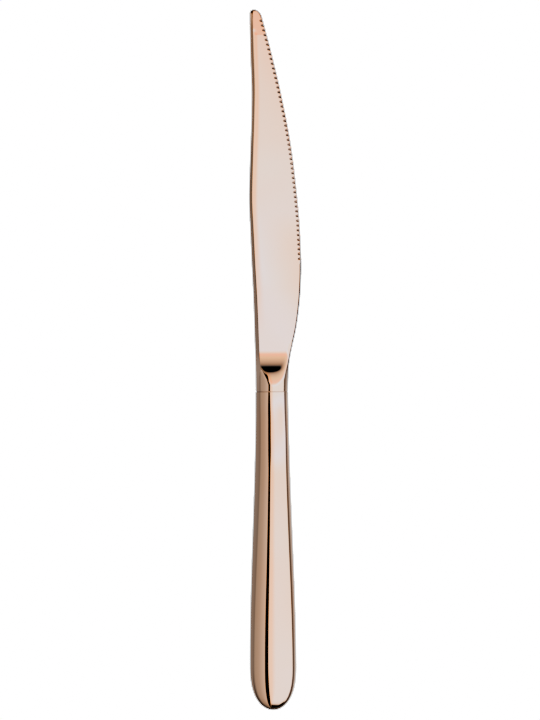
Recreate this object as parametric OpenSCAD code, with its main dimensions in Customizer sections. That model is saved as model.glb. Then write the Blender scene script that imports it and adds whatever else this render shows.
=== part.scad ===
// Serrated table knife with a hollow handle.
// The knife lies flat: +Y runs along it to the tip, -X is the spine side, +X is the edge side
// and +Z is the front face. The origin is on the handle's axis where the blade's shoulder meets
// the handle, on the plane that parts the two shells.

/* [Lengths] */
// Length of the blade from its shoulder to the tip
blade_l = 128.2; // [100:0.1:150]
// Length of the handle from the blade's shoulder to the butt
handle_l = 107; // [85:0.5:130]

/* [Blade] */
// How far the spine bulges from the handle's axis
spine_reach = 7.4; // [6.4:0.1:8.4]
// How far the belly of the edge stands from the handle's axis
belly_reach = 10.1; // [8.6:0.1:11.6]
// How far on the spine side of the handle's axis the edge runs out at the tip
tip_reach = 3.55; // [2.6:0.05:4.4]
// Thickness between the ground faces where they would meet the spine at the heel
heel_t = 3; // [2.4:0.1:3.6]
// Thickness of the spine at the tip
tip_t = 1.1; // [0.8:0.1:1.5]
// Thickness of the ground faces where they come nearest to each other at the edge
ground_t = 0.5; // [0.45:0.05:0.7]
// Thickness of the edge itself
edge_t = 0.28; // [0.16:0.02:0.3]
// Slope of the narrow bevel along the edge
bevel_angle = 41; // [30:1:50]
// Greatest width of that bevel, which it has at the blunt heel
bevel_w = 0.8; // [0.5:0.05:1.2]
// Width of the rounded spine at the heel
spine_heel_w = 1.3; // [0.9:0.05:1.6]
// Width of the rounded spine towards the tip
spine_tip_w = 0.8; // [0.5:0.05:1]
// Radius of the tip's corner on the spine side
tip_spine_r = 1.3; // [0.8:0.1:2]
// Length of the tip's corner on the edge side
tip_edge_l = 2.3; // [1.5:0.1:3.5]
// Width of the tip's corner on the edge side
tip_edge_w = 1.9; // [1.2:0.1:2.1]

/* [Serration] */
// Distance from one groove to the next
tooth_pitch = 1.6; // [1.4:0.1:2.4]
// Distance from the shoulder to the first groove
serration_start = 44.5; // [30:0.5:70]
// Distance from the last groove to the tip
serration_tip_gap = 3.6; // [3:0.1:10]
// How far a groove runs in from the edge
groove_l = 1.3; // [0.9:0.05:1.5]
// Width of a groove's mouth at the edge
groove_w = 1.2; // [0.8:0.05:1.3]
// Depth of a groove below the front face at the edge
groove_depth = 0.36; // [0.2:0.01:0.4]

/* [Bolster] */
// Width of the neck where blade and handle meet
neck_w = 10.75; // [9.6:0.05:11.6]
// Thickness of the neck where blade and handle meet
neck_t = 7.9; // [6.8:0.1:8.6]
// Length of the bolster that keeps the neck's full thickness
crown_l = 2.2; // [1:0.1:3]
// Length of the ramp from the neck's full thickness down to the blade
ramp_l = 12.1; // [10:0.1:16]
// How widely the polished ramp is softened where it meets the round of the neck
ramp_soft = 0.7; // [0.2:0.1:1]

/* [Handle] */
// Greatest width of the handle
handle_w = 15.45; // [13.5:0.05:17.5]
// Greatest thickness of the handle, in front of its middle
handle_t = 9.2; // [8.8:0.1:10.4]
// Thickness of the handle ahead of the rounded butt
tail_t = 8.1; // [7.2:0.1:8.8]
// Length of the rounded butt
butt_l = 15.1; // [12:0.1:18]
// Thickness of the pressed sheet of the two shells
shell_wall = 0.8; // [0.6:0.05:1]
// Height of the ground weld that joins the shells
weld_h = 0.5; // [0.3:0.05:0.8]
// Width of the ring-shaped seam between blade and handle
seam_gap = 0.3; // [0.2:0.05:0.5]
// Depth of that seam below the surface
seam_depth = 0.15; // [0.05:0.05:0.3]

/* [Tang] */
// Length of the spigot that centres the shells on the blade
spigot_l = 3; // [2:0.5:5]
// Length of spigot and tang together
tang_l = 48; // [30:1:70]
// Width of the tang behind the spigot
tang_w = 5.2; // [4:0.1:6]
// Thickness of the tang behind the spigot
tang_t = 2.8; // [2:0.1:3.4]
// Width of the tang at its end
tang_end_w = 3.8; // [2.5:0.1:5]
// Thickness of the tang at its end
tang_end_t = 2; // [1.4:0.1:2.8]
// Gap between the spigot and the shells
spigot_clear = 0.1; // [0.05:0.01:0.15]
// Gap round the filling and the solder ring
fill_clear = 0.04; // [0.02:0.01:0.08]

/* [Hidden] */

// Half sizes of the neck, the edge and the weld
neck_x = neck_w / 2;
neck_z = neck_t / 2;
edge_z = edge_t / 2;
weld_z = weld_h / 2;

// The spine's outline: shares of the blade's length, and of the way from the neck to spine_reach
spine_shares = [
    [0, 0], [0.06, 0.03], [0.135, 0.15], [0.24, 0.335], [0.345, 0.63], [0.42, 0.81], [0.5, 1],
    [0.56, 0.91], [0.64, 0.72], [0.7, 0.58], [0.76, 0.5], [0.8, 0.5], [0.87, 0.64], [0.92, 0.71],
    [0.96, 0.74], [1, 0.75],
];
// The edge's outline up to the belly: shares of the blade's length, and of the way from neck to belly
heel_shares = [
    [0, 0], [0.03, 0.022], [0.06, 0.06], [0.09, 0.168], [0.12, 0.338], [0.16, 0.585], [0.2, 0.76],
    [0.25, 0.91],
    [0.3, 0.985], [0.335, 1],
];
// The edge's outline past the belly: shares of the blade's length, and of the way from tip to belly
point_shares = [
    [0.4, 0.98], [0.45, 0.955], [0.5, 0.914], [0.55, 0.867], [0.6, 0.814], [0.65, 0.748], [0.7, 0.668],
    [0.75, 0.576],
    [0.8, 0.477], [0.85, 0.367], [0.9, 0.252], [0.95, 0.128], [1, 0],
];
// Where along the blade the ground faces come nearest to each other at the edge, as a share of its length
ground_share = 0.6;
// Share of the blade's length up to which its faces turn level on the way to the heel
level_share = 0.47;
// Where the faces keep their height as they turn: a share of the neck's half width, on the spine side
level_x_share = 0.56;
// Share of the ramp's length that is its hollow foot, and the shares over which its curvature changes: at the
// heel, at the foot's end and at the crown
ramp_foot_share = 0.586;
ramp_start_share = 0.165;
ramp_turn_share = 0.1;
ramp_end_share = 0.13;
// Shares of the handle's length: where it has its full width, where it is thickest and where it is thin
full_width_share = 0.87;
thickest_share = 0.26;
tail_share = 0.78;
// Fullness of the cross-sections (2 is an ellipse), of the spine, of the rounded butt and of the tang
oval_power = 2.3;
spine_power = 1.25;
butt_power = 2.6;
tang_power = 6;

// Steps of the surfaces: round a half section, along the bolster, the blade, the handle and a rounded end
side_steps = 20;
bolster_steps = 18;
blade_steps = 44;
body_steps = 24;
end_steps = 10;

// Ease from 0 to 1
function ease(t) = let (c = min(1, max(0, t))) c * c * (3 - 2 * c);

// A smooth curve through points [place, value], read at a place
function span_at(p, y, i = 0) = i >= len(p) - 2 || y < p[i + 1][0] ? i : span_at(p, y, i + 1);
function slope_at(p, i) =
    let (a = max(0, i - 1), b = min(len(p) - 1, i + 1))
    (p[b][1] - p[a][1]) / (p[b][0] - p[a][0]);
function curve_at(p, y) =
    let (i = span_at(p, y), h = p[i + 1][0] - p[i][0], t = (y - p[i][0]) / h)
    p[i][1] * (1 + 2 * t) * (1 - t) * (1 - t) + slope_at(p, i) * h * t * (1 - t) * (1 - t)
    + p[i + 1][1] * t * t * (3 - 2 * t) + slope_at(p, i + 1) * h * t * t * (t - 1);

// How far a rounded corner of length l and width w has drawn in at distance d from its end
function drawn_in(d, l, w) = d >= l ? 0 : w * (1 - sqrt(1 - pow(1 - max(d, 0) / l, 2)));

// Distances of spine and edge from the handle's axis at y
spine_points = [for (p = spine_shares) [p[0] * blade_l, neck_x + (spine_reach - neck_x) * p[1]]];
edge_points = concat(
    [for (p = heel_shares) [p[0] * blade_l, neck_x + (belly_reach - neck_x) * p[1]]],
    [for (p = point_shares) [p[0] * blade_l, (belly_reach + tip_reach) * p[1] - tip_reach]]
);
function spine_x(y) = curve_at(spine_points, y) - drawn_in(blade_l - y, tip_spine_r, tip_spine_r);
function edge_x(y) = curve_at(edge_points, y) - drawn_in(blade_l - y, tip_edge_l, tip_edge_w);

// The flat of the ground front face: a plane through the spine's two ends and the edge
heel_y = crown_l + ramp_l;
heel_point = [-curve_at(spine_points, heel_y), heel_y, heel_t / 2];
tip_point = [-curve_at(spine_points, blade_l), blade_l, tip_t / 2];
ground_point = [edge_x(ground_share * blade_l), ground_share * blade_l, ground_t / 2];
face_normal = cross(ground_point - heel_point, tip_point - heel_point);
function face_z(x, y) =
    heel_point[2]
    - (face_normal[0] * (x - heel_point[0]) + face_normal[1] * (y - heel_point[1])) / face_normal[2];

// The ground face turned level on the way to the heel, so that the ramp runs straight across
level_x = -level_x_share * neck_x;
function level_at(y) = ease((level_share * blade_l - y) / (level_share * blade_l - heel_y));
function ground_z(x, y) = face_z(x + (level_x - x) * level_at(y), y);

// Height of the ramp above the face: hollow at its foot, round at its brow, with soft changes between
ramp_start = ramp_l * ramp_start_share;
foot_l = ramp_l * ramp_foot_share;
steepest = 2 * (neck_z - face_z(level_x, heel_y)) / (ramp_l - ramp_start / 2);
hollow = steepest / (foot_l - ramp_start / 2);
brow = steepest / (ramp_l - foot_l);
function turned(past, wide, change) =
    change / (6 * wide) * (pow(max(past + wide / 2, 0), 3) - pow(max(past - wide / 2, 0), 3));
function ramp_z(y) =
    let (a = heel_y - y)
    turned(a - ramp_start / 2, ramp_start, hollow)
    - turned(a - foot_l, ramp_l * ramp_turn_share, hollow + brow)
    + turned(a - ramp_l, ramp_l * ramp_end_share, brow);

// The smaller of two heights, with the corner between them rounded over s
function soft_min(a, b, s) = let (h = s > 0 ? max(0, 1 - abs(a - b) / s) : 0) min(a, b) - h * h * s / 4;

// Height of a half round of radius r at distance d from its end
function half_round(d, r) = d >= r ? r : sqrt(max(0, r * r - pow(r - d, 2)));
// Height of the spine's quick round of width w up to height z, at distance d from its end
function spine_w(y) = spine_tip_w + (spine_heel_w - spine_tip_w) * ease(1 - (y - heel_y) / (blade_l / 2));
function quick_round(d, w, z) =
    d >= w ? z : z * pow(1 - pow(1 - max(d, 0) / w, spine_power), 1 / spine_power);
// Height of an oval of half height z at a share of its half width
function oval_z(share, z) = z * pow(max(0, 1 - pow(abs(share), oval_power)), 1 / oval_power);

// Half thickness of the blade and bolster at x, y
function blade_z(x, y) =
    let (
        l = spine_x(y), r = edge_x(y), ramp = ramp_z(y),
        high = ground_z(-l, y) + ramp,
        neck = oval_z((2 * x - r + l) / (l + r), neck_z),
        flat = soft_min(ground_z(x, y) + ramp, neck, ramp_soft * ease(y / (3 * crown_l))),
        edge = max(edge_z, ground_z(r, y) - bevel_w * tan(bevel_angle)),
        bevel = edge + (r - x) * tan(bevel_angle) + 2 * ramp
    )
    min(flat, bevel, quick_round(x + l, spine_w(y), high), half_round(blade_l - y, high));

// Rings of points round a section, from the spine side over the front to the edge side and back
function blade_ring(y) =
    let (
        l = spine_x(y), r = edge_x(y),
        front = [for (i = [1:side_steps - 1])
            let (x = (r - l - (r + l) * cos(180 * i / side_steps)) / 2) [x, blade_z(x, y)]]
    )
    closed_ring(y, l, r, front);
function oval_ring(y, w, z, power) =
    let (front = [for (i = [1:side_steps - 1])
        let (c = -cos(180 * i / side_steps)) [w * c, z * pow(1 - pow(abs(c), power), 1 / power)]])
    closed_ring(y, w, w, front);
function closed_ring(y, l, r, front) = concat(
    [[-l, y, 0]],
    [for (p = front) [p[0], y, p[1]]],
    [[r, y, edge_z], [r, y, -edge_z]],
    [for (i = [len(front) - 1:-1:0]) [front[i][0], y, -front[i][1]]]
);

// A closed skin over a chain of rings with equal counts, flat at both ends
module skin(rings) {
    count = len(rings[0]);
    last = len(rings) - 1;
    sides = [
        for (i = [0:last - 1], j = [0:count - 1])
            let (a = i * count + j, b = i * count + (j + 1) % count, c = a + count, d = b + count)
            each [[a, b, d], [a, d, c]]
    ];
    ends = [[for (j = [count - 1:-1:0]) j], [for (j = [0:count - 1]) last * count + j]];
    polyhedron(points = [for (ring = rings) each ring], faces = concat(sides, ends));
}

// Half width and half thickness of the handle at y, drawn in from its surface by an inset
function handle_end(y, inset) = sqrt(1 - pow(max(0, 1 - (handle_l - inset + y) / butt_l), butt_power));
function body_x(y) = neck_x + (handle_w - neck_w) / 2 * ease(-y / (handle_l * full_width_share));
function body_z(y) =
    neck_z + (handle_t - neck_t) / 2 * ease(-y / (handle_l * thickest_share))
    - (handle_t - tail_t) / 2 * ease((-y / handle_l - thickest_share) / (tail_share - thickest_share));
function handle_x(y, inset) = (body_x(y) - inset) * handle_end(y, inset);
function handle_z(y, inset) = (body_z(y) - inset) * handle_end(y, inset);

// Places of the handle's sections from a front end back to just before the butt
function handle_rows(front, inset) =
    let (l = handle_l - inset)
    concat(
        [for (i = [0:body_steps]) front - (l - butt_l + front) * i / body_steps],
        [for (i = [1:end_steps - 1]) -l + butt_l * (1 - sin(90 * i / end_steps))]
    );

// Points of a shell's half section, from the edge side over the top to the spine side
function half_row(y, inset) =
    let (w = handle_x(y, inset), z = handle_z(y, inset) - weld_z)
    [
        for (i = [0:side_steps])
            let (c = cos(180 * i / side_steps))
            [w * c, y, weld_z + max(0, z) * pow(max(0, 1 - pow(abs(c), oval_power)), 1 / oval_power)]
    ];

// One pressed half of the handle, above the weld
module handle_shell() {
    outer = [for (y = handle_rows(-seam_gap, 0)) half_row(y, 0)];
    inner = [for (y = handle_rows(-seam_gap, shell_wall)) half_row(y, shell_wall)];
    rows = len(outer);
    count = side_steps + 1;
    outer_end = rows * count;
    inner_start = outer_end + 1;
    inner_end = inner_start + rows * count;
    points = concat(
        [for (row = outer) each row], [[0, -handle_l, weld_z]],
        [for (row = inner) each row], [[0, shell_wall - handle_l, weld_z]]
    );
    walls = [
        for (i = [0:rows - 2], j = [0:side_steps - 1])
            let (a = i * count + j, b = a + 1, c = a + count, d = c + 1, n = inner_start)
            each [[a, c, d], [a, d, b], [n + a, n + d, n + c], [n + a, n + b, n + d]]
    ];
    butt = [
        for (j = [0:side_steps - 1])
            let (a = (rows - 1) * count + j, n = inner_start)
            each [[a, outer_end, a + 1], [n + a, n + a + 1, inner_end]]
    ];
    mouth = [
        for (j = [0:side_steps - 1])
            let (n = inner_start)
            each [[j, j + 1, n + j + 1], [j, n + j + 1, n + j]]
    ];
    rims = [
        for (i = [0:rows - 2])
            let (a = i * count, b = a + count, c = a + side_steps, d = c + count, n = inner_start)
            each [[a, n + a, n + b], [a, n + b, b], [c, n + d, n + c], [c, d, n + d]]
    ];
    low = (rows - 1) * count;
    high = low + side_steps;
    corners = [
        [low, inner_start + low, inner_end], [low, inner_end, outer_end],
        [high, inner_end, inner_start + high], [high, outer_end, inner_end],
    ];
    polyhedron(points = points, faces = concat(walls, butt, mouth, rims, corners));
}

// Places of the grooves along the edge
groove_count = floor((blade_l - serration_tip_gap - serration_start) / tooth_pitch) + 1;
groove_places = [for (i = [0:groove_count - 1]) serration_start + i * tooth_pitch];

// The V-shaped track of the grinding wheel, across the blade at y, from the front face down through the edge
module groove(y) {
    x = edge_x(y) - groove_l;
    slope = atan(groove_depth / groove_l) + atan(face_normal[0] / face_normal[2]);
    high = 4 * groove_depth;
    side = high * groove_w / (2 * groove_depth);
    translate([x, y, face_z(x, y)])
        rotate([0, 90 + slope, 0])
            linear_extrude(height = 2 * groove_l)
                polygon([[0, 0], [-high, side], [-high, -side]]);
}

// Outline of the weld's band: round the butt outside, and back inside
function rim_side(inset, side) = [for (y = handle_rows(-seam_gap, inset)) [side * handle_x(y, inset), y]];
function reversed(list) = [for (i = [len(list) - 1:-1:0]) list[i]];

// Forged blade with its bolster, spigot and tang in one piece
module blade() {
    color([0.86, 0.68, 0.58])
        difference() {
            skin(concat(
                [for (i = [0:end_steps - 1])
                    blade_ring(blade_l - tip_edge_l * (1 - sin(90 - 90 * (i + 0.4) / end_steps)))],
                [for (i = [0:blade_steps])
                    blade_ring(blade_l - tip_edge_l - (blade_l - tip_edge_l - heel_y) * i / blade_steps)],
                [for (i = [1:bolster_steps]) blade_ring(heel_y * (1 - i / bolster_steps))],
                [for (y = [0, -spigot_l])
                    let (gap = shell_wall + spigot_clear) oval_ring(y, neck_x - gap, neck_z - gap, oval_power)],
                [
                    oval_ring(-spigot_l, tang_w / 2, tang_t / 2, tang_power),
                    oval_ring(-tang_l, tang_end_w / 2, tang_end_t / 2, tang_power),
                ]
            ));
            for (y = groove_places) groove(y);
        }
}

// Front half of the hollow handle
module handle_shell_front() {
    color([0.82, 0.62, 0.51])
        handle_shell();
}

// Back half of the hollow handle
module handle_shell_back() {
    color([0.78, 0.58, 0.47])
        mirror([0, 0, 1])
            handle_shell();
}

// Ground and polished weld that joins the shells along their rims
module seam_weld() {
    color([0.74, 0.55, 0.44])
        translate([0, 0, -weld_z])
            linear_extrude(height = weld_h)
                polygon(concat(
                    rim_side(0, 1), [[0, -handle_l]], reversed(rim_side(0, -1)),
                    rim_side(shell_wall, -1), [[0, shell_wall - handle_l]], reversed(rim_side(shell_wall, 1))
                ));
}

// Solder in the seam between the blade's shoulder and the mouth of the shells
module solder_ring() {
    outer = oval_ring(0, neck_x - seam_depth, neck_z - seam_depth, oval_power);
    inner_gap = shell_wall + spigot_clear - fill_clear;
    inner = oval_ring(0, neck_x - inner_gap, neck_z - inner_gap, oval_power);
    color([0.6, 0.45, 0.36])
        rotate([90, 0, 0])
            linear_extrude(height = seam_gap)
                difference() {
                    polygon([for (p = outer) [p[0], p[2]]]);
                    polygon([for (p = inner) [p[0], p[2]]]);
                }
}

// Cement that fills the handle and grips the tang
module cement_filling() {
    inset = shell_wall + fill_clear;
    front = -spigot_l - fill_clear;
    color([0.8, 0.79, 0.74])
        skin(concat(
            [oval_ring(
                -tang_l - fill_clear, tang_end_w / 2 + fill_clear, tang_end_t / 2 + fill_clear, tang_power
            )],
            [oval_ring(front, tang_w / 2 + fill_clear, tang_t / 2 + fill_clear, tang_power)],
            [for (y = handle_rows(front, inset))
                oval_ring(y, handle_x(y, inset), handle_z(y, inset), oval_power)]
        ));
}

blade();
handle_shell_front();
handle_shell_back();
seam_weld();
solder_ring();
cement_filling();
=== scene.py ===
# Serrated table knife with a hollow handle, dressed for the render.
# +Y runs to the tip, -X is the spine side, +X the edge side, +Z the front face; the origin is the neck.
# Lengths in the settings are in millimetres unless a note says metres, and every mesh is made in metres.
import math

import bpy
import numpy as np
from mathutils import Matrix, Vector


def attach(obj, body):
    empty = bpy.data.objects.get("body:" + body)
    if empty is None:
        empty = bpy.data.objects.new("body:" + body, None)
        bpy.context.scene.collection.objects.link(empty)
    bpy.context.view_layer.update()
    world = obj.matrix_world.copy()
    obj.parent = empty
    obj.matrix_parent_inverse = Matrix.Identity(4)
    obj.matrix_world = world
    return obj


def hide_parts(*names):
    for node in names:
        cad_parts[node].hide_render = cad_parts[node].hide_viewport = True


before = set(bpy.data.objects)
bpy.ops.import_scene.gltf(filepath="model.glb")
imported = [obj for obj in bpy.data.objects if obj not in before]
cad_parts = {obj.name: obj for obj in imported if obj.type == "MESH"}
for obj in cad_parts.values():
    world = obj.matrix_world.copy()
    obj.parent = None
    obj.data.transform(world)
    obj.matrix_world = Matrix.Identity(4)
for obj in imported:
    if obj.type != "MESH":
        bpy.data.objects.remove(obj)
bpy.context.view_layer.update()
millimetre = 0.001
aboveAll = 99.0  # a height above every surface, where a shape doesn't reach
print("frame loaded:", sorted(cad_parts))


# Curves shared by the blade and the handle

# A smooth step: 3 t squared minus 2 t cubed, held at 0 and 1 outside.
def ease(t):
    held = np.clip(t, 0, 1)
    return held * held * (3 - 2 * held)


# Straight lines between places and values.
def straightAt(points, y):
    return np.interp(y, *np.array(points).T)


# A cubic through places and values; each slope is that of the chord between the two neighbours.
def curveAt(points, y):
    place, value = np.array(points, float).T
    low = np.maximum(np.arange(len(place)) - 1, 0)
    high = np.minimum(np.arange(len(place)) + 1, len(place) - 1)
    slope = (value[high] - value[low]) / (place[high] - place[low])
    start = np.clip(np.searchsorted(place, y, side="right") - 1, 0, len(place) - 2)
    end = start + 1
    span = place[end] - place[start]
    t = (y - place[start]) / span
    return (value[start] * (1 + 2 * t) * (1 - t) ** 2 + slope[start] * span * t * (1 - t) ** 2
            + value[end] * t * t * (3 - 2 * t) + slope[end] * span * t * t * (t - 1))


# How far a quarter ellipse of given length and width has drawn in at a distance from its end.
def drawnIn(distance, length, width):
    share = np.clip(1 - distance / length, 0, 1)
    return width * (1 - np.sqrt(1 - share ** 2))


# Height over a share of the half width: z times the root of 1 minus the share to the power.
def ovalHeight(share, z, power):
    return z * np.maximum(1 - np.abs(share) ** power, 0) ** (1 / power)


# Height of a rounded border, at a share of its width: the oval's height over what is left of the share.
def borderHeight(share, z, power):
    return np.where(share < 1, ovalHeight(1 - share, z, power), aboveAll)


# The lower of two heights, less a small parabola where they are nearer than the softness.
def softMin(a, b, softness):
    leastSoftness = 1e-6
    near = np.maximum(1 - np.abs(a - b) / np.maximum(softness, leastSoftness), 0)
    return np.minimum(a, b) - near ** 2 * softness / 4


# Making meshes

# Quads between neighbouring rows of a grid; a wrapped grid also joins its last column to its first.
def gridQuads(rows, columns, wrap=False, start=0):
    index = start + np.arange(rows * columns).reshape(rows, columns)
    right = np.roll(index, -1, axis=1)
    if not wrap:
        index, right = index[:, :-1], right[:, :-1]
    return np.stack([index[:-1], index[1:], right[1:], right[:-1]], axis=-1).reshape(-1, 4)


# Faces of a closed tube: quads round its rings, and a cap at each end.
def tubeFaces(rows, around):
    ring = np.arange(around)[None]
    return [gridQuads(rows, around, wrap=True), ring[:, ::-1], (rows - 1) * around + ring]


# A mesh object from points in millimetres and groups of faces with as many corners each; the faces are
# turned outwards if the volume, the sum of each face's corner fan, comes out negative.
def makePiece(name, points, faces, sharpAngle):
    volume = 0.0
    for group in faces:
        corners = points[group]
        for second in range(1, group.shape[1] - 1):
            fan = np.cross(corners[:, second], corners[:, second + 1])
            volume += np.einsum("ij,ij->", corners[:, 0], fan) / 6
    if volume < 0:
        faces = [group[:, ::-1] for group in faces]
    mesh = bpy.data.meshes.new(name)
    sizes = np.concatenate([np.full(len(group), group.shape[1]) for group in faces])
    corners = np.concatenate([group.ravel() for group in faces])
    mesh.vertices.add(len(points))
    mesh.vertices.foreach_set("co", (points * millimetre).astype(np.float32).ravel())
    mesh.loops.add(len(corners))
    mesh.loops.foreach_set("vertex_index", corners.astype(np.int32))
    mesh.polygons.add(len(sizes))
    mesh.polygons.foreach_set("loop_start", (np.cumsum(sizes) - sizes).astype(np.int32))
    mesh.polygons.foreach_set("use_smooth", np.ones(len(sizes), bool))
    mesh.update(calc_edges=True)
    mesh.validate()
    mesh.set_sharp_from_angle(angle=math.radians(sharpAngle))
    piece = bpy.data.objects.new(name, mesh)
    bpy.context.scene.collection.objects.link(piece)
    print(name, "made:", len(points), "points,", len(sizes), "faces,", round(abs(volume)), "cubic mm")
    return piece


# The blade, its bolster and its tang

blade = {
    "length": 128.2, "spineReach": 7.4, "bellyReach": 10.1, "tipReach": 3.55,  # reaches are from the axis
    "tipSpineRadius": 1.3, "tipEdgeLength": 2.3, "tipEdgeWidth": 1.9,  # the tip's two corners
    "spineShares": [  # share of the length, and of the spine's reach past the neck
        [0, 0], [0.06, 0.03], [0.135, 0.15], [0.24, 0.335], [0.345, 0.63], [0.42, 0.81], [0.5, 1],
        [0.56, 0.91], [0.64, 0.72], [0.7, 0.58], [0.76, 0.5], [0.8, 0.5], [0.87, 0.64], [0.92, 0.71],
        [0.96, 0.74], [1, 0.75]],
    "heelShares": [  # share of the length, and of the way out from the neck to the belly
        [0, 0], [0.03, 0.022], [0.06, 0.06], [0.09, 0.168], [0.12, 0.338], [0.16, 0.585], [0.2, 0.76],
        [0.25, 0.91], [0.3, 0.985], [0.335, 1]],
    "pointShares": [  # share of the length, and of the way out from the tip to the belly
        [0.4, 0.98], [0.45, 0.955], [0.5, 0.914], [0.55, 0.867], [0.6, 0.814], [0.65, 0.748],
        [0.7, 0.668], [0.75, 0.576], [0.8, 0.477], [0.85, 0.367], [0.9, 0.252], [0.95, 0.128], [1, 0]],

    "heelThick": 3.0, "tipThick": 1.1, "groundThick": 0.5, "groundShare": 0.6,  # points of the ground plane
    "tipInset": 3.0,  # at the tip its point lies as far out as the spine does this much earlier
    "levelX": -3.0, "levelShare": 0.47,  # the face turns level about this line, from this share to the heel
    "bulge": 0.06, "bulgeWide": 12.0, "bulgeReach": 20.0,  # the face bulges, in full at this width and reach
    "spineRoll": 2.3, "spineRollDrop": 0.14, "rollFade": 2.5,  # the polish rolls the face over to the spine
    "tipRoll": 8.5, "tipRollFall": 0.045,  # and to the tip
    "spineWidths": [  # width of the spine's round along the blade
        [0, 1.3], [17, 1.26], [31, 1.15], [64, 0.95], [84, 0.91], [98, 0.93], [111, 1.01], [128.2, 1.03]],
    "spinePower": 1.04, "tipRound": 0.45,  # the power of both rounds, and the length of the tip's
    "edgeThick": 0.28, "tipThin": 6.0, "tipThinShare": 0.9,  # the edge loses this share of itself at the tip
    "bevelAngle": 41, "bevelWide": 0.62,  # degrees, and how far it reaches where the blade is thick enough

    "neckWide": 10.75, "neckThick": 7.9, "ovalPower": 2.15,
    "crownLength": 2.2, "crownShift": -0.22,  # how far the top of the neck's oval lies to the edge side
    "rampLength": 12.1, "footShare": 0.586,
    "rampStart": 2.0, "rampTurn": 1.2, "rampEnd": 1.6,  # widths of the ramp's three soft steps
    "rampSoft": 0.9, "softLean": 0.55,  # softness of the ramp's corner with the neck, more to the edge side
    "softCrowns": 3, "softReach": 3.0,  # full this many crowns from the neck, and gone this far past the heel

    "toothPitch": 1.6, "toothStart": 44.5, "toothTipGap": 3.6,  # the first groove, and the tip's free end
    "grooveLength": 1.2, "grooveStep": 0.1, "grooveDepth": 0.16,  # the drop is this deep after the step
    "grooveFall": 0.12, "grooveWall": 0.55,  # slopes of the bottom towards the edge, and of the walls
    "grooveShadeOver": 0.06,  # painted shade, full in the grooves, fading out over this height above the face
    "grooveShades": [
        [44, 0.93], [50, 0.91], [58, 0.77], [78, 0.74], [90, 0.88], [110, 0.9], [128.2, 0.92]],
    "rimTo": 0.68, "rimFade": 0.25,  # painted shade in a line along the edge beside the grooves, and round the tip
    "rimShades": [
        [4, 0], [8, 0.9], [13, 0.9], [20, 0.8], [33, 0.72], [45, 0.45], [110, 0.85], [128.2, 0.85]],
    "spineShades": [  # how much painted shade the spine's round gets along the blade
        [0, 0], [14, 0.1], [24, 0.3], [31, 0.5], [44, 0.45], [64, 0.3], [84, 0.5], [98, 0.7], [122, 0.7],
        [128.2, 0.35]],
    "shadeStarts": [  # the share of its width where that starts
        [0, 0.6], [31, 0.6], [44, 0.45], [64, 0.1], [84, 0], [98, -0.1], [111, -0.4], [128.2, -0.5]],
    "shadeFull": 0.8, "shadeEnd": 0.99,  # and the shares where it is full and where it ends

    "spigotInset": 1.0, "spigotLength": 3.0, "tangLength": 48.0, "tangWide": 5.0, "tangThick": 2.6,
    "tangEndWide": 3.6, "tangEndThick": 1.8, "tangPower": 6,
    "halvesGap": 0.01,  # keeps the points of the hidden rings' two halves apart

    "tipRows": 16, "firstTurn": 0.06, "heelRows": 26, "bolsterRows": 76,  # the first row's turn is in radians
    "toothRows": [-0.65, -0.5, -0.38, -0.25, -0.12, 0, 0.12, 0.25, 0.38, 0.5, 0.65, 0.8],
    "spineColumns": 12, "faceColumns": 24, "outerColumns": 5, "grooveColumns": (0.09, 0.3, 0.53, 0.77, 1),
    "edgeBand": 1.6, "bandShare": 0.3,  # the band beside the edge is at most this share of the width
    "grooveLeast": 0.06, "grooveMost": 0.9,  # a groove's border in it: least distance, and most of its width
    "sharpAngle": 16,
}
blade["neckX"] = blade["neckWide"] / 2
blade["neckZ"] = blade["neckThick"] / 2
blade["edgeZ"] = blade["edgeThick"] / 2
blade["heelY"] = blade["crownLength"] + blade["rampLength"]


# Distance of the spine from the handle's axis: the neck plus a share of the reach past it, less the tip's
# round corner.
def spineX(y):
    reach = blade["spineReach"] - blade["neckX"]
    points = [[along * blade["length"], blade["neckX"] + reach * out] for along, out in blade["spineShares"]]
    return curveAt(points, y) - drawnIn(blade["length"] - y, blade["tipSpineRadius"], blade["tipSpineRadius"])


# Distance of the edge from the axis: from neck to belly, then from belly to tip, less the tip's corner.
def edgeX(y):
    length, neck, tip = blade["length"], blade["neckX"], -blade["tipReach"]
    heelReach, pointReach = blade["bellyReach"] - neck, blade["bellyReach"] - tip
    points = [[along * length, neck + heelReach * out] for along, out in blade["heelShares"]]
    points += [[along * length, tip + pointReach * out] for along, out in blade["pointShares"]]
    return curveAt(points, y) - drawnIn(length - y, blade["tipEdgeLength"], blade["tipEdgeWidth"])


# The ground face: the plane through the spine at the heel, the spine at the tip and the edge near its middle.
heelPoint = np.array([-float(spineX(np.array(blade["heelY"]))), blade["heelY"], blade["heelThick"] / 2])
tipX = -float(spineX(np.array(blade["length"] - blade["tipInset"])))
tipPoint = np.array([tipX, blade["length"], blade["tipThick"] / 2])
groundY = blade["groundShare"] * blade["length"]
groundPoint = np.array([float(edgeX(np.array(groundY))), groundY, blade["groundThick"] / 2])
faceNormal = np.cross(groundPoint - heelPoint, tipPoint - heelPoint)


# Height of the ground plane: the heel's height less its fall along x and y.
def faceZ(x, y):
    fall = faceNormal[0] * (x - heelPoint[0]) + faceNormal[1] * (y - heelPoint[1])
    return heelPoint[2] - fall / faceNormal[2]


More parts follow.
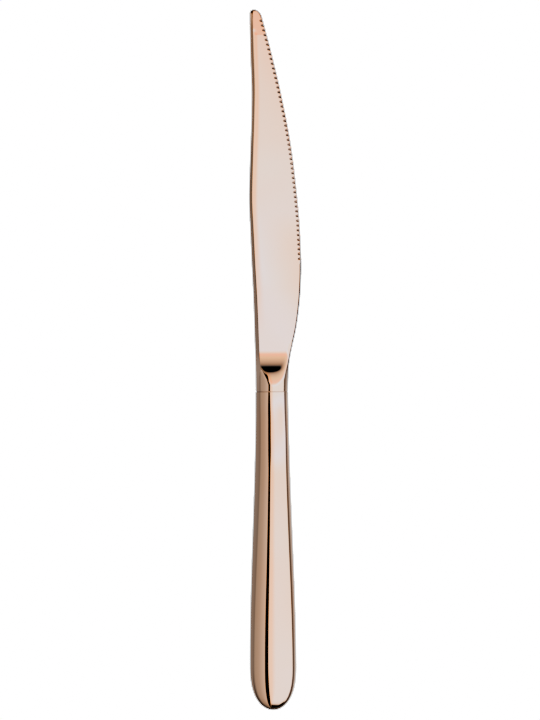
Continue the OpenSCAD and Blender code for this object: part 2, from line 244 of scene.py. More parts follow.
# Height of the bolster's ramp above the face: its curvature changes in three soft steps, to hollow at the
# heel, to round at the foot's end and back to none at the crown; each step adds a difference of two cubes.
def rampZ(y):
    rise = blade["neckZ"] - faceZ(blade["levelX"], blade["heelY"])
    start, top, foot = blade["rampStart"] / 2, blade["rampLength"], blade["rampLength"] * blade["footShare"]
    steepest = 2 * rise / (top - start)
    hollow, brow = steepest / (foot - start), steepest / (top - foot)
    steps = (
        (start, blade["rampStart"], hollow), (foot, blade["rampTurn"], -hollow - brow),
        (top, blade["rampEnd"], brow))
    height = 0
    for place, wide, change in steps:
        past = blade["heelY"] - y - place
        cubes = np.maximum(past + wide / 2, 0) ** 3 - np.maximum(past - wide / 2, 0) ** 3
        height = height + change / (6 * wide) * cubes
    return height


# Width of the spine's round: a cubic through the set widths.
def spineRound(y):
    return curveAt(blade["spineWidths"], y)


# Height of the face and its ramp: the ground plane plus a parabola across its width, less a parabola near the
# spine and a line near the tip. Towards the heel its slope across eases out, so that the ramp meets the crown
# square.
def rampedFace(x, y, ramp):
    left, right = spineX(y), edgeX(y)
    levelFrom = blade["levelShare"] * blade["length"]
    level = ease((levelFrom - y) / (levelFrom - blade["heelY"]))
    bulge = blade["bulge"] * ease((left + right) / blade["bulgeWide"])
    bulge = bulge * ease((y - blade["heelY"]) / blade["bulgeReach"])
    fromSpine = x - spineRound(y) + left
    roll = np.maximum(1 - fromSpine / blade["spineRoll"], 0) ** 2 * blade["spineRollDrop"] * (1 - level)
    roll = roll * ease((blade["length"] - blade["tipRoll"] - y) / blade["rollFade"] + 1)
    tipFall = blade["tipRollFall"] * np.maximum(y - (blade["length"] - blade["tipRoll"]), 0)
    across = (2 * x - right + left) / (left + right)
    return faceZ(x + (blade["levelX"] - x) * level, y) + ramp + bulge * (1 - across ** 2) - roll - tipFall


# Half thickness of blade and bolster, and the height of the face alone. The first is the lowest of the face
# with its ramp, the neck's oval, the edge's bevel, the spine's round and the round at the tip. The oval is
# shifted sideways by a share of its own height, and its corner with the ramp is softened.
def bladeZ(x, y):
    left, right, ramp = spineX(y), edgeX(y), rampZ(y)
    face = rampedFace(x, y, ramp)
    across = (2 * x - right + left) / (left + right)
    shift = blade["crownShift"] / blade["neckX"] * ovalHeight(across, 1, blade["ovalPower"])
    neck = ovalHeight(across - shift, blade["neckZ"], blade["ovalPower"])
    soft = blade["rampSoft"] * (1 + blade["softLean"] * across)
    soft = soft * ease(y / (blade["softCrowns"] * blade["crownLength"]))
    soft = soft * (1 - ease((y - blade["heelY"]) / blade["softReach"]))
    flat = softMin(face, neck, soft)
    rise = math.tan(math.radians(blade["bevelAngle"]))
    edge = rampedFace(right, y, ramp) - ramp - blade["bevelWide"] * rise
    edge = np.maximum(blade["edgeZ"], edge) + 2 * ramp
    thinned = ease((y - blade["length"] + blade["tipThin"]) / blade["tipThin"])
    edge = edge - blade["tipThinShare"] * blade["edgeZ"] * thinned
    bevel = edge + (right - x) * rise
    spineHigh = rampedFace(spineRound(y) - left, y, ramp)
    spine = borderHeight(np.clip((x + left) / spineRound(y), 0, 1), spineHigh, blade["spinePower"])
    tipShare = np.clip((blade["length"] - y) / blade["tipRound"], 0, 1)
    tip = borderHeight(tipShare, spineHigh, blade["spinePower"])
    return np.minimum(np.minimum(flat, bevel), np.minimum(spine, tip)), face


# Places of the serration's grooves along the edge, and the rows that bound them.
toothSpan = blade["length"] - blade["toothTipGap"] - blade["toothStart"]
toothPlaces = blade["toothStart"] + blade["toothPitch"] * np.arange(int(toothSpan // blade["toothPitch"]) + 1)
teethTop = toothPlaces[-1] + blade["toothPitch"] / 2
teethLow = toothPlaces[0] - blade["toothPitch"] / 2


# The place of the groove that is nearest along the blade.
def nearestTooth(y):
    return toothPlaces[np.argmin(np.abs(y[..., None] - toothPlaces), axis=-1)]


# A groove drops below the face over a short step, then falls on in a line; its walls rise by the distance
# from its middle.
def grooveZ(x, y, face):
    near = nearestTooth(y)
    past = x - edgeX(near) + blade["grooveLength"]
    depth = blade["grooveDepth"] * np.clip(past / blade["grooveStep"], 0, 1) + blade["grooveFall"] * past
    return np.where(past > 0, face - depth + np.abs(y - near) * blade["grooveWall"], aboveAll)


# Distance from the edge at which the groove starts in a row: where its depth is the height of its walls.
def grooveBorder(y):
    near = nearestTooth(y)
    wall = np.abs(y - near) * blade["grooveWall"]
    steep = blade["grooveDepth"] / blade["grooveStep"] + blade["grooveFall"]
    inStep = wall < steep * blade["grooveStep"]
    past = np.where(inStep, wall / steep, (wall - blade["grooveDepth"]) / blade["grooveFall"])
    return edgeX(y) - edgeX(near) + blade["grooveLength"] - past


# Rows of the blade from the tip to the shoulder: close at the tip's round, a dozen a tooth, and close again
# over the bolster.
def bladeRows():
    turn = np.linspace(math.pi / 2 - blade["firstTurn"], 0, blade["tipRows"])
    tip = blade["length"] - blade["tipEdgeLength"] * (1 - np.sin(turn))
    between = [(tip[-1] + teethTop) / 2]
    teeth = (toothPlaces[::-1, None] + np.array(blade["toothRows"])[None, ::-1]).ravel()
    heel = np.linspace(teethLow, blade["heelY"], blade["heelRows"])
    bolster = np.linspace(blade["heelY"], 0, blade["bolsterRows"])[1:]
    return np.concatenate([tip, between, teeth, heel, bolster])


# One row's places across the blade: by even angles over the rounded spine, evenly over the face to the edge
# band, then to the groove's border and on to the edge; where there are no grooves, by even angles again.
def bladeGrid():
    y = bladeRows()
    left, right = spineX(y), edgeX(y)
    width = left + right
    band = np.minimum(blade["edgeBand"], blade["bandShare"] * width)
    rounded = np.minimum(spineRound(y), blade["bandShare"] * width)
    quarter = np.linspace(0, math.pi / 2, blade["spineColumns"] + 1)
    spine = -left[:, None] + rounded[:, None] * (1 - np.cos(quarter))[None]
    inside = (width - band - rounded)[:, None]
    main = (rounded - left)[:, None] + inside * np.linspace(0, 1, blade["faceColumns"] + 1)[None, 1:]
    border = np.clip(grooveBorder(y), blade["grooveLeast"], band * blade["grooveMost"])
    outerShares = np.linspace(0, 1, blade["outerColumns"] + 1)[None, 1:]
    outer = band[:, None] + (border - band)[:, None] * outerShares
    inner = border[:, None] * (1 - np.array(blade["grooveColumns"]))[None]
    toothed = ((y <= teethTop) & (y >= teethLow))[:, None]
    count = blade["outerColumns"] + len(blade["grooveColumns"])
    even = band[:, None] * (1 - np.sin(np.linspace(0, math.pi / 2, count + 1)[1:]))[None]
    distance = np.where(toothed, np.concatenate([outer, inner], axis=1), even)
    x = np.concatenate([spine, main, right[:, None] - distance], axis=1)
    return x, np.broadcast_to(y[:, None], x.shape)


# Painted shade on the front and on the back, where the steel is also rougher: eased distances to the edge,
# the tip and over the spine's round, and in front to the grooves, each times its shade along the blade.
def paintedShades(x, y, toothed, overGroove):
    # painted shade along the edge and the tip, standing in for the bevel's dark reflection
    edgeRim = ease((blade["rimTo"] - edgeX(y) + x) / blade["rimFade"]) * np.where(toothed, 0, 1)
    tipRim = ease((blade["rimTo"] - blade["length"] + y) / blade["rimFade"])
    rim = np.maximum(edgeRim, tipRim) * straightAt(blade["rimShades"], y)
    # painted shade over the spine's round, standing in for its dark reflection
    overSpine = (x + spineX(y)) / spineRound(y)
    start = straightAt(blade["shadeStarts"], y)
    spine = straightAt(blade["spineShades"], y) * ease((overSpine - start) / (blade["shadeFull"] - start))
    back = np.maximum(rim, np.where(overSpine < blade["shadeEnd"], spine, 0))
    # painted shade in the grooves and a little above them
    grooveShade = np.clip((overGroove + blade["grooveShadeOver"]) / blade["grooveShadeOver"], 0, 1)
    return np.maximum(back, grooveShade * straightAt(blade["grooveShades"], y)), back


# Spigot and tang behind the shoulder: ovals, each ring in as many points as a ring of the blade.
def tangRings(count):
    inset = blade["spigotInset"]
    spigot = (blade["neckX"] - inset, blade["neckZ"] - inset, blade["ovalPower"])
    tang = (blade["tangWide"] / 2, blade["tangThick"] / 2, blade["tangPower"])
    tangEnd = (blade["tangEndWide"] / 2, blade["tangEndThick"] / 2, blade["tangPower"])
    across = -np.cos(np.linspace(0, math.pi, count))
    rings = []
    for place, (wide, thick, power) in (
            (0, spigot), (-blade["spigotLength"], spigot), (-blade["spigotLength"], tang),
            (-blade["tangLength"], tangEnd)):
        high = ovalHeight(across, thick, power)
        high[0] = high[-1] = 0
        top = np.stack([across * wide, np.full(count, place), high], axis=-1)
        low = top[:0:-1] * [1, 1, -1] - [0, 0, blade["halvesGap"]]
        rings.append(np.concatenate([top, low]))
    return np.array(rings)


# The whole forging: rings round front and back from the tip to the shoulder, then the tang's, and two caps.
def makeBlade():
    x, y = bladeGrid()
    back, face = bladeZ(x, y)
    back[:, -1] = np.minimum(blade["edgeZ"], back[:, -2])
    toothed = (y < teethTop) & (y > teethLow)
    groove = np.where(toothed, grooveZ(x, y, face), aboveAll)
    front = np.minimum(back, groove)
    frontShade, backShade = paintedShades(x, y, toothed, back - groove)
    shade = np.concatenate([frontShade, backShade[:, :0:-1]], axis=1)
    visible = np.concatenate([
        np.stack([x, y, front], axis=-1), np.stack([x, y, -back], axis=-1)[:, :0:-1]], axis=1)
    hidden = tangRings(x.shape[1])
    rings = np.concatenate([visible, hidden])
    rows, around = rings.shape[:2]
    faces = tubeFaces(rows, around)
    piece = makePiece("bladeAndBolster", rings.reshape(-1, 3), faces, blade["sharpAngle"])
    # the painted shade, kept on the points for the material
    ground = piece.data.attributes.new("ground", "FLOAT", "POINT")
    ground.data.foreach_set("value", np.concatenate([shade.ravel(), np.zeros(len(hidden) * around)]))
    return piece


# The hollow handle: two shells and the weld between them

handle = {
    "length": 107.0, "wide": 15.45, "thick": 9.2, "tailThick": 8.1, "buttLength": 15.1, "buttPower": 2.6,
    "fullWideShare": 0.87, "thickestShare": 0.26, "tailShare": 0.9,  # shares of the length from the neck
    "crest": [  # how far the top of the oval is shifted sideways along the handle
        [-107, 0], [-98, -0.12], [-87, -0.16], [-57, -0.08], [-33, 0.02], [-17, 0.09], [-10, 0.03],
        [-5, -0.14], [0, -0.22]],
    "neckPower": 2.15, "bodyPower": 2.38, "tailPower": 2.24,  # the oval's power at these places
    "bodyFrom": 0.15, "tailOver": 0.45,  # reached after this share of the length, and over this much more
    "wall": 0.8, "weldHigh": 0.5, "seamGap": 0.3,
    "steps": 60, "bodyRows": 90, "buttRows": 40, "sharpAngle": 40,
}
handle["weldZ"] = handle["weldHigh"] / 2


# Half width and half thickness of the handle at y, drawn in by an inset: eased shares of the length, then
# the rounded butt's root of 1 minus the share left to the power.
def handleSize(y, inset):
    along = -y / handle["length"]
    buttLeft = np.maximum(0, 1 - (handle["length"] - inset + y) / handle["buttLength"])
    end = np.sqrt(np.maximum(0, 1 - buttLeft ** handle["buttPower"]))
    widening = ease(along / handle["fullWideShare"])
    swelling = ease(along / handle["thickestShare"])
    thinning = ease((along - handle["thickestShare"]) / (handle["tailShare"] - handle["thickestShare"]))
    x = blade["neckX"] + (handle["wide"] - blade["neckWide"]) / 2 * widening
    z = blade["neckZ"] + (handle["thick"] - blade["neckThick"]) / 2 * swelling
    z = z - (handle["thick"] - handle["tailThick"]) / 2 * thinning
    return (x - inset) * end, (z - inset) * end


# Rows of the handle from the mouth to just before the butt's end, closer and closer round the butt.
def handleRows(inset):
    length = handle["length"] - inset
    body = np.linspace(-handle["seamGap"], -(length - handle["buttLength"]), handle["bodyRows"] + 1)
    turn = np.linspace(0, math.pi / 2, handle["buttRows"] + 1)[1:-1]
    return np.concatenate([body, -length + handle["buttLength"] * (1 - np.sin(turn))])


# One half of the shell's surface: over the weld, an oval of the half width and what is left of the height.
def shellRows(inset):
    y = handleRows(inset)
    wide, thick = handleSize(y, inset)
    turn = np.linspace(0, math.pi, handle["steps"] + 1)[None]
    share = -y[:, None] / handle["length"]
    body = ease(share / handle["bodyFrom"])
    tail = ease((share - handle["bodyFrom"]) / handle["tailOver"])
    power = handle["neckPower"] + (handle["bodyPower"] - handle["neckPower"]) * body
    power = power + (handle["tailPower"] - handle["bodyPower"]) * tail
    across = np.sign(np.cos(turn)) * np.abs(np.cos(turn)) ** (2 / power)
    up = np.sin(turn) ** (2 / power)
    high = np.maximum(thick - handle["weldZ"], 0)
    crest = curveAt(handle["crest"], y)[:, None]
    return np.stack([
        wide[:, None] * across + crest * up, np.broadcast_to(y[:, None], across.shape),
        handle["weldZ"] + high[:, None] * up], axis=-1)


# A pressed half of the handle: outer and inner surface, each closed to a point at the butt, joined by rims.
def makeShell(name, side):
    outer, inner = shellRows(0), shellRows(handle["wall"])
    rows, count = outer.shape[:2]
    step = rows * count
    ends = np.array([
        [0, -handle["length"], handle["weldZ"]], [0, handle["wall"] - handle["length"], handle["weldZ"]]])
    points = np.concatenate([outer.reshape(-1, 3), inner.reshape(-1, 3), ends]) * [1, 1, side]
    outerEnd, innerEnd = 2 * step, 2 * step + 1
    quads = [gridQuads(rows, count), gridQuads(rows, count, start=step)[:, ::-1]]
    column = np.arange(count - 1)
    last = (rows - 1) * count + column
    butt = np.stack([last, np.full(count - 1, outerEnd), last + 1], axis=-1)
    buttInside = np.stack([step + last + 1, np.full(count - 1, innerEnd), step + last], axis=-1)
    mouth = np.stack([column, column + 1, step + column + 1, step + column], axis=-1)
    low = np.arange(rows - 1) * count
    high = low + count - 1
    rims = np.concatenate([
        np.stack([low, step + low, step + low + count, low + count], axis=-1),
        np.stack([high, high + count, step + high + count, step + high], axis=-1)])
    lowLast, highLast = (rows - 1) * count, rows * count - 1
    corners = np.array([
        [lowLast, step + lowLast, innerEnd, outerEnd], [highLast, outerEnd, innerEnd, step + highLast]])
    faces = [np.concatenate(quads + [mouth, rims, corners]), np.concatenate([butt, buttInside])]
    return makePiece(name, points, faces, handle["sharpAngle"])


# The ground weld: a band between the outer and the inner rim, from the mouth round the butt and back.
def makeWeld():
    loops = []
    for inset in (0, handle["wall"]):
        y = handleRows(inset)
        side = np.stack([handleSize(y, inset)[0], y], axis=-1)
        end = [[0, inset - handle["length"]]]
        loops.append(np.concatenate([side, end, side[::-1] * [-1, 1]]))
    section = np.stack([
        np.concatenate([loops[rim], np.full((len(loops[rim]), 1), up * handle["weldZ"])], axis=1)
        for rim, up in ((0, -1), (0, 1), (1, 1), (1, -1))], axis=1)
    faces = tubeFaces(*section.shape[:2])
    return makePiece("weldBand", section.reshape(-1, 3), faces, handle["sharpAngle"])


# Finishes

# A node with its settings; its inputs take sockets or plain values.
def addNode(tree, kind, values=None, **settings):
    node = tree.nodes.new(kind)
    for key, value in settings.items():
        setattr(node, key, value)
    for key, value in (values or {}).items():
        if isinstance(value, bpy.types.NodeSocket):
            tree.links.new(value, node.inputs[key])
        else:
            node.inputs[key].default_value = value
    return node


# The answer of a maths node on its values in order.
def calculate(tree, operation, *values):
    return addNode(tree, "ShaderNodeMath", dict(enumerate(values)), operation=operation).outputs[0]


# A value's share of the way from low to high, held at both ends, and spread between two other values.
def spread(tree, value, low, high, toLow=0.0, toHigh=1.0, steps="LINEAR"):
    values = {"Value": value, "From Min": low, "From Max": high, "To Min": toLow, "To Max": toHigh}
    return addNode(tree, "ShaderNodeMapRange", values, interpolation_type=steps).outputs[0]


# Two colours or two numbers mixed by a factor.
def mixed(tree, kind, factor, a, b, blend="MIX"):
    values = {"Factor": factor, "A": a, "B": b}
    return addNode(tree, "ShaderNodeMix", values, data_type=kind, blend_type=blend).outputs["Result"]


# An empty material and its tree of nodes.
def newMaterial(name):
    material = bpy.data.materials.new(name)
    material.use_nodes = True
    material.node_tree.nodes.clear()
    return material, material.node_tree


roseSteel = {
    "blade": {"tint": (0.905, 0.641, 0.494), "deep": (0.93, 0.59, 0.41), "rough": 0.028},
    "shell": {"tint": (0.905, 0.632, 0.475), "deep": (0.93, 0.59, 0.41), "rough": 0.028},
    "weld": {"tint": (0.90, 0.60, 0.44), "deep": (0.86, 0.55, 0.40), "rough": 0.08},
    "ground": (0.085, 0.06, 0.046), "groundRough": 0.3,  # painted shade, and rougher steel, by the blade's attribute
    "cloud": 28.0, "cloudFrom": 0.35, "cloudTo": 0.65,  # noise cells a metre, and the part of its range used
    "hairlines": 900.0, "hairFrom": 0.3, "hairTo": 0.7,
    "hairStretch": 0.06, "roughSpread": 0.012,  # the hairlines' scale along the knife, and what they add
}


# Polish marks: fine hairlines along the piece, and a slow cloud for its tint.
def polishGroup():
    group = bpy.data.node_groups.new("polishMarks", "ShaderNodeTree")
    for name, kind in (("Vector", "NodeSocketVector"), ("Hairlines", "NodeSocketFloat"),
                       ("Cloud", "NodeSocketFloat")):
        group.interface.new_socket(name, in_out="INPUT", socket_type=kind)
    for name in ("Hair Mask", "Cloud Mask"):
        group.interface.new_socket(name, in_out="OUTPUT", socket_type="NodeSocketFloat")
    into, out = group.nodes.new("NodeGroupInput"), group.nodes.new("NodeGroupOutput")
    stretch = addNode(group, "ShaderNodeMapping", {
        "Vector": into.outputs["Vector"], "Scale": (1.0, roseSteel["hairStretch"], 1.0)})
    hair = addNode(group, "ShaderNodeTexNoise", {
        "Vector": stretch.outputs[0], "Scale": into.outputs["Hairlines"], "Detail": 3.0, "Roughness": 0.6})
    cloud = addNode(group, "ShaderNodeTexNoise", {
        "Vector": into.outputs["Vector"], "Scale": into.outputs["Cloud"], "Detail": 2.0})
    group.links.new(hair.outputs["Fac"], out.inputs["Hair Mask"])
    group.links.new(cloud.outputs["Fac"], out.inputs["Cloud Mask"])
    return group


# Rose-coated polished steel: a metal whose tint drifts slowly, with hairlines in its roughness.
def roseMaterial(name, part, marks):
    finish = roseSteel[part]
    material, tree = newMaterial(name)
    place = addNode(tree, "ShaderNodeTexCoord")
    group = addNode(tree, "ShaderNodeGroup", {
        "Vector": place.outputs["Object"], "Hairlines": roseSteel["hairlines"],
        "Cloud": roseSteel["cloud"]}, node_tree=marks)
    cloud = spread(tree, group.outputs["Cloud Mask"], roseSteel["cloudFrom"], roseSteel["cloudTo"])
    rough = spread(
        tree, group.outputs["Hair Mask"], roseSteel["hairFrom"], roseSteel["hairTo"],
        finish["rough"], finish["rough"] + roseSteel["roughSpread"])
    # painted shade: the blade's attribute darkens the base colour to near black and roughens the steel
    shadeMask = addNode(tree, "ShaderNodeAttribute", attribute_name="ground").outputs["Fac"]
    tint = mixed(tree, "RGBA", cloud, (*finish["tint"], 1), (*finish["deep"], 1))
    shader = addNode(tree, "ShaderNodeBsdfPrincipled", {
        "Base Color": mixed(tree, "RGBA", shadeMask, tint, (*roseSteel["ground"], 1)), "Metallic": 1.0,
        "Roughness": mixed(tree, "FLOAT", shadeMask, rough, roseSteel["groundRough"])})
    addNode(tree, "ShaderNodeOutputMaterial", {"Surface": shader.outputs[0]})
    return material


# The solder and the cement: two tints, the grain's cells a metre, and its height in metres.
solderFinish = {
    "light": (0.55, 0.38, 0.29), "dark": (0.40, 0.28, 0.22), "metallic": 1.0, "rough": 0.35,
    "scale": 900, "height": 0.00002}
cementFinish = {
    "light": (0.62, 0.60, 0.55), "dark": (0.45, 0.44, 0.41), "metallic": 0.0, "rough": 0.9,
    "scale": 600, "height": 0.0001}


# Dull solder and grey cement: two tints mixed by fine noise, which is also a grainy height.
def grainMaterial(name, finish):
    material, tree = newMaterial(name)
    place = addNode(tree, "ShaderNodeTexCoord")
    grain = addNode(tree, "ShaderNodeTexNoise", {
        "Vector": place.outputs["Object"], "Scale": finish["scale"], "Detail": 4.0}).outputs["Fac"]
    bump = addNode(tree, "ShaderNodeBump", {"Height": grain, "Strength": 0.5, "Distance": finish["height"]})
    shader = addNode(tree, "ShaderNodeBsdfPrincipled", {
        "Base Color": mixed(tree, "RGBA", grain, (*finish["light"], 1), (*finish["dark"], 1)),
        "Metallic": finish["metallic"], "Roughness": finish["rough"], "Normal": bump.outputs[0]})
    addNode(tree, "ShaderNodeOutputMaterial", {"Surface": shader.outputs[0]})
    return material


# Camera

shot = {
    "tilt": 8.0, "lean": 0.0045,  # degrees, and radians
    "distance": 1500.0, "aimY": 10.52, "aimRight": -0.588,
    "pixel": 0.336, "pictureHigh": 720, "sensor": 24.0,  # a pixel's size at the knife, and how many there are
    "clipNear": 0.01, "clipFar": 100,  # metres
}
tilt = math.radians(shot["tilt"])
towardCamera = Vector((-math.sin(tilt), 0, math.cos(tilt)))
acrossView = Vector((math.cos(tilt), 0, math.sin(tilt)))
lengthwise = Vector((0, 1, 0))


# The camera looks along the tilted normal, turned by the photograph's small lean; its lens fits the
# picture's pixels, of the given size, at the aim point.
def makeCamera():
    camera = bpy.data.objects.new("camera", bpy.data.cameras.new("camera"))
    bpy.context.scene.collection.objects.link(camera)
    right = acrossView * math.cos(shot["lean"]) - lengthwise * math.sin(shot["lean"])
    up = acrossView * math.sin(shot["lean"]) + lengthwise * math.cos(shot["lean"])
    aim = lengthwise * shot["aimY"] + right * shot["aimRight"]
    place = (aim + towardCamera * shot["distance"]) * millimetre
    camera.matrix_world = Matrix((
        (right.x, up.x, towardCamera.x, place.x), (right.y, up.y, towardCamera.y, place.y),
        (right.z, up.z, towardCamera.z, place.z), (0, 0, 0, 1)))
    camera.data.sensor_fit = "AUTO"
    camera.data.sensor_width = shot["sensor"]
    camera.data.lens = shot["sensor"] * shot["distance"] / (shot["pictureHigh"] * shot["pixel"])
    camera.data.clip_start, camera.data.clip_end = shot["clipNear"], shot["clipFar"]
    bpy.context.scene.camera = camera


# The light tent

studio = {
    "across": [  # degrees across the view from the camera's direction, and the light there
        (-180, (0.27, 0.27, 0.27)), (-95, (0.26, 0.26, 0.26)), (-78, (0.21, 0.21, 0.21)),
        (-68, (0.20, 0.20, 0.19)), (-60, (0.37, 0.35, 0.32)), (-40, (0.45, 0.40, 0.34)),
        (-28, (0.50, 0.44, 0.38)), (-12, (0.70, 0.60, 0.50)), (-3, (0.92, 0.76, 0.60)),
        (4, (1.60, 1.34, 1.10)), (9, (1.84, 1.36, 0.91)), (13, (1.88, 1.53, 1.17)),
        (18, (1.83, 2.02, 2.26)), (79, (1.83, 2.02, 2.26)), (82, (0.14, 0.14, 0.14)),
        (180, (0.14, 0.14, 0.14))],
    "alongEdge": [  # degrees along the knife, towards the tip, and what is left of the light on the edge side
        (-90, (0.0, 0.0, 0.0)), (-62, (0.0, 0.0, 0.0)), (-58, (0.3, 0.25, 0.2)), (-52, (0.9, 0.78, 0.66)),
        (-42, (1.0, 0.92, 0.86)), (-5, (1.02, 0.92, 0.87)), (-3, (1.01, 0.90, 0.80)),
        (-1.5, (1, 0.89, 0.75)), (0, (1, 0.96, 0.90)), (1.5, (1, 1.05, 1.30)), (3.5, (1.0, 0.91, 0.82)),
        (4.5, (1.0, 0.82, 0.66)), (6, (1.03, 0.66, 0.43)), (8.5, (1.05, 0.52, 0.28)),
        (18, (0.76, 0.51, 0.25)), (30, (0.37, 0.26, 0.18)), (36, (0.2, 0.15, 0.11)),
        (40.5, (0.05, 0.05, 0.05)), (42, (0, 0, 0)), (54, (0, 0, 0)), (60, (0.4, 0.36, 0.32)),
        (90, (0.4, 0.36, 0.32))],
    "alongSpine": [  # the same on the spine side
        (-90, (0.45, 0.45, 0.45)), (-70, (0.55, 0.55, 0.55)), (-56, (0.8, 0.8, 0.8)), (-40, (1, 1, 1)),
        (30, (1, 1, 1)), (42, (0.6, 0.6, 0.6)), (90, (0.35, 0.35, 0.35))],
    "sideFrom": 7, "sideTo": 12,  # degrees across over which the spine side passes into the edge side
    "slitMiddle": 0.4, "slitSoft": 0.9,  # the dark slit that the camera looks through
    "slitHalf": [  # degrees along the knife, and half the slit's width
        (-60, 8.5), (-25, 6.2), (-10, 5.4), (-4, 5.0), (-1.5, 5.1), (0, 5.3), (2, 6.8), (4, 6.6),
        (6.5, 6.2), (7.5, 5.6), (9, 5.6), (10.5, 6.6), (14, 8.0), (22, 10.0), (60, 11.0)],
    "slitFar": 25, "slitEnd": 30, "slitGlow": 0.25,  # past these degrees towards the tip it glows a little
    "cornerFrom": 45, "cornerTo": 75, "cornerTurn": 10,  # far out on the edge side the angle along is
    "cornerButt": 0.3, "cornerTip": -0.6,  # stretched where it points to the butt, and shortened to the tip
    "whiteSeen": 2.1,  # how bright the camera sees the tent and the floor
    "whiteFrom": 1.85, "whiteShown": 9.0,  # the display curve climbs from here to this
}


# A colour ramp over a value from low to high, its colours divided by the brightest so that all fit below 1.
def colourRamp(tree, value, low, high, stops):
    top = max(max(colour) for _, colour in stops)
    ramp = addNode(tree, "ShaderNodeValToRGB", {"Fac": spread(tree, value, low, high)})
    elements = ramp.color_ramp.elements
    while len(elements) < len(stops):
        elements.new(0.5)  # its real place is set below
    for element, (place, colour) in zip(elements, stops):
        element.position = (place - low) / (high - low)
    for element, (place, colour) in zip(elements, stops):
        element.color = (*[c / top for c in colour], 1)
    return ramp.outputs["Color"], top


# The same for plain numbers: the ramp times its brightest value.
def numberRamp(tree, value, low, high, stops):
    colour, top = colourRamp(tree, value, low, high, [(place, (number,) * 3) for place, number in stops])
    return calculate(tree, "MULTIPLY", colour, top)


# A ray's direction as its angle across the view, its angle along the knife, and the second one stretched
# far out on the edge side, by a share that runs in a line from the butt's side to the tip's.
def tentAngles(tree):
    direction = addNode(tree, "ShaderNodeTexCoord").outputs["Generated"]

    def partAlong(axis):
        values = {0: direction, 1: tuple(axis)}
        return addNode(tree, "ShaderNodeVectorMath", values, operation="DOT_PRODUCT").outputs["Value"]

    turn = calculate(tree, "ARCTAN2", partAlong(acrossView), partAlong(towardCamera))
    across = calculate(tree, "MULTIPLY", turn, math.degrees(1))
    rawAlong = calculate(tree, "MULTIPLY", calculate(tree, "ARCSINE", partAlong(lengthwise)), math.degrees(1))
    corner = spread(tree, across, studio["cornerFrom"], studio["cornerTo"], steps="SMOOTHSTEP")
    turnReach = studio["cornerTurn"]
    stretch = spread(tree, rawAlong, -turnReach, turnReach, studio["cornerButt"], studio["cornerTip"])
    stretched = calculate(tree, "ADD", 1.0, calculate(tree, "MULTIPLY", corner, stretch))
    return across, rawAlong, calculate(tree, "MULTIPLY", rawAlong, stretched)


# What is left of the light in the slit: 0 nearer to its middle than half its width, 1 outside, and a small
# glow far towards the tip.
def slitLight(tree, across, rawAlong, along):
    fromMiddle = calculate(tree, "ABSOLUTE", calculate(tree, "SUBTRACT", across, studio["slitMiddle"]))
    outside = calculate(tree, "SUBTRACT", fromMiddle, numberRamp(tree, along, -90, 90, studio["slitHalf"]))
    light = spread(tree, outside, -studio["slitSoft"], studio["slitSoft"], steps="SMOOTHSTEP")
    glow = spread(
        tree, rawAlong, studio["slitFar"], studio["slitEnd"], 0.0, studio["slitGlow"], steps="SMOOTHSTEP")
    return calculate(tree, "MAXIMUM", light, glow)


# The light tent, by direction: the angle across the view and the angle along the knife each have their
# own ramp, the two are multiplied, and a dark slit lies where the camera looks in. The camera sees white.
def makeWorld():
    world = bpy.data.worlds.new("lightTent")
    bpy.context.scene.world = world
    world.use_nodes = True
    tree = world.node_tree
    tree.nodes.clear()
    across, rawAlong, along = tentAngles(tree)
    acrossColour, acrossTop = colourRamp(tree, across, -180, 180, studio["across"])
    edgeColour, edgeTop = colourRamp(tree, along, -90, 90, studio["alongEdge"])
    spineColour, spineTop = colourRamp(tree, along, -90, 90, studio["alongSpine"])
    side = spread(tree, across, studio["sideFrom"], studio["sideTo"])
    alongColour = mixed(tree, "RGBA", side, spineColour, edgeColour)
    light = mixed(tree, "RGBA", 1.0, acrossColour, alongColour, blend="MULTIPLY")
    tops = calculate(tree, "ADD", calculate(tree, "MULTIPLY", side, edgeTop - spineTop), spineTop)
    slit = slitLight(tree, across, rawAlong, along)
    strength = calculate(tree, "MULTIPLY", slit, calculate(tree, "MULTIPLY", tops, acrossTop))
    tent = addNode(tree, "ShaderNodeBackground", {"Color": light, "Strength": strength})
    plain = addNode(tree, "ShaderNodeBackground", {"Color": (1, 1, 1, 1), "Strength": studio["whiteSeen"]})
    path = addNode(tree, "ShaderNodeLightPath")
    mix = addNode(tree, "ShaderNodeMixShader", {
        0: path.outputs["Is Camera Ray"], 1: tent.outputs[0], 2: plain.outputs[0]})
    addNode(tree, "ShaderNodeOutputWorld", {"Surface": mix.outputs[0]})


# The floor

paper = {
    "size": 2500.0, "glowReach": 100,
    "besideHandle": [  # millimetres across the floor, and its glow in the metal beside the handle
        (-100, 0.22), (-24, 0.24), (-16, 0.25), (-11, 0.25), (0, 0.30), (8, 0.55), (32, 0.52), (58, 0.20),
        (100, 0.15)],
    "besideBlade": [(-100, 0.26), (-24, 0.28), (-11, 0.30), (0, 0.26), (4, 0.22), (100, 0.20)],
    "bladeFrom": -2.0, "bladeFull": 8.0,  # places along the knife where the first glow passes into the second
    "middle": 10.6, "half": 115.0, "fade": 7.0, "ends": 0.2,  # beyond the knife's ends the glow falls to this
}


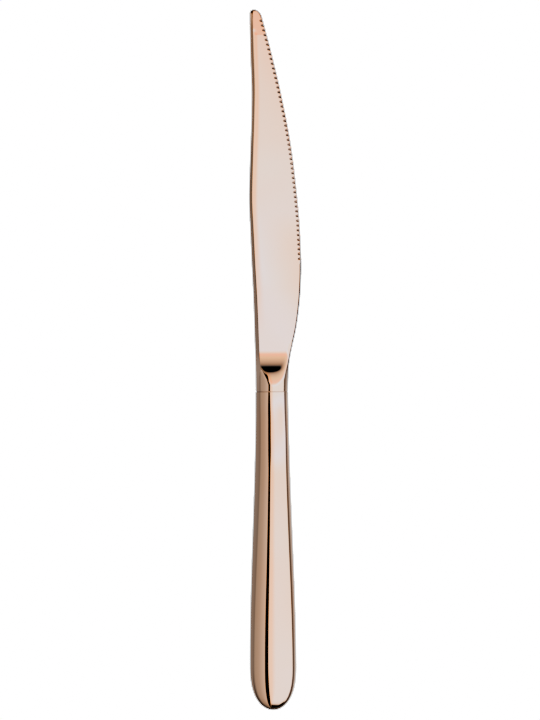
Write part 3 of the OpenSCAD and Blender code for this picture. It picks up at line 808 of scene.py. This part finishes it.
# The floor's glow in the metal: a ramp across for the handle and one for the blade, mixed along the knife,
# and less past the ends of the knife.
def metalGlow(tree):
    place = addNode(tree, "ShaderNodeTexCoord")
    axes = addNode(tree, "ShaderNodeSeparateXYZ", {0: place.outputs["Object"]}).outputs
    x, y = (calculate(tree, "MULTIPLY", axes[name], 1 / millimetre) for name in ("X", "Y"))
    byHandle, byBlade = (
        numberRamp(tree, x, -paper["glowReach"], paper["glowReach"], paper[part])
        for part in ("besideHandle", "besideBlade"))
    front = spread(tree, y, paper["bladeFrom"], paper["bladeFull"])
    away = calculate(tree, "ABSOLUTE", calculate(tree, "SUBTRACT", y, paper["middle"]))
    ends = spread(tree, away, paper["half"], paper["half"] + paper["fade"], 1.0, paper["ends"])
    return calculate(tree, "MULTIPLY", mixed(tree, "FLOAT", front, byHandle, byBlade), ends)


# A square under the handle: white to the camera, a paler or darker glow in the metal, and open from below.
def makeFloor():
    low, size = -handle["thick"] / 2, paper["size"]
    corners = np.array([[-size, -size, low], [size, -size, low], [size, size, low], [-size, size, low]])
    mesh = bpy.data.meshes.new("floor")
    mesh.from_pydata((corners * millimetre).tolist(), [], [[0, 1, 2, 3]])
    floor = bpy.data.objects.new("floor", mesh)
    bpy.context.scene.collection.objects.link(floor)
    material, tree = newMaterial("paleFloor")
    path = addNode(tree, "ShaderNodeLightPath")
    strength = mixed(tree, "FLOAT", path.outputs["Is Camera Ray"], metalGlow(tree), studio["whiteSeen"])
    glow = addNode(tree, "ShaderNodeEmission", {"Strength": strength})
    facing = addNode(tree, "ShaderNodeNewGeometry")
    clear = addNode(tree, "ShaderNodeBsdfTransparent")
    mix = addNode(tree, "ShaderNodeMixShader", {
        0: facing.outputs["Backfacing"], 1: glow.outputs[0], 2: clear.outputs[0]})
    addNode(tree, "ShaderNodeOutputMaterial", {"Surface": mix.outputs[0]})
    mesh.materials.append(material)


# The display curve: straight up to the brightest metal, then a fast climb to the white of the paper.
def setDisplay():
    display = bpy.context.scene.view_settings
    display.view_transform = "AgX"
    display.look = "AgX - Medium High Contrast"
    display.use_curve_mapping = True
    curve = display.curve_mapping
    curve.use_clip = False
    curve.white_level = (studio["whiteSeen"],) * 3
    points = curve.curves[3].points  # the curve of all the channels together
    points.new(studio["whiteFrom"] / studio["whiteSeen"], studio["whiteFrom"])
    points[-1].location = (1, studio["whiteShown"])
    for point in points:
        point.handle_type = "VECTOR"
    curve.update()


# Putting it together

makeCamera()
print("camera set")
marks = polishGroup()
bladeSteel = roseMaterial("roseBladeSteel", "blade", marks)
shellSteel = roseMaterial("roseShellSteel", "shell", marks)
weldSteel = roseMaterial("roseWeld", "weld", marks)
solder = grainMaterial("dullSolder", solderFinish)
cement = grainMaterial("greyCement", cementFinish)
print("finishes made")

pieces = [
    (makeBlade(), "blade", "blade_steel", bladeSteel),
    (makeShell("handleFront", 1), "handle_shell_front", "shell_steel", shellSteel),
    (makeShell("handleBack", -1), "handle_shell_back", "shell_steel", shellSteel),
    (makeWeld(), "seam_weld", "weld", weldSteel),
]
for piece, node, slotName, material in pieces:
    piece.data.materials.append(material)
    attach(piece, "root")
    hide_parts(node)
for node, material in (("solder_ring", solder), ("cement_filling", cement)):
    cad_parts[node].material_slots[0].material = material
print("pieces placed")

makeWorld()
makeFloor()
setDisplay()
print("studio lit")
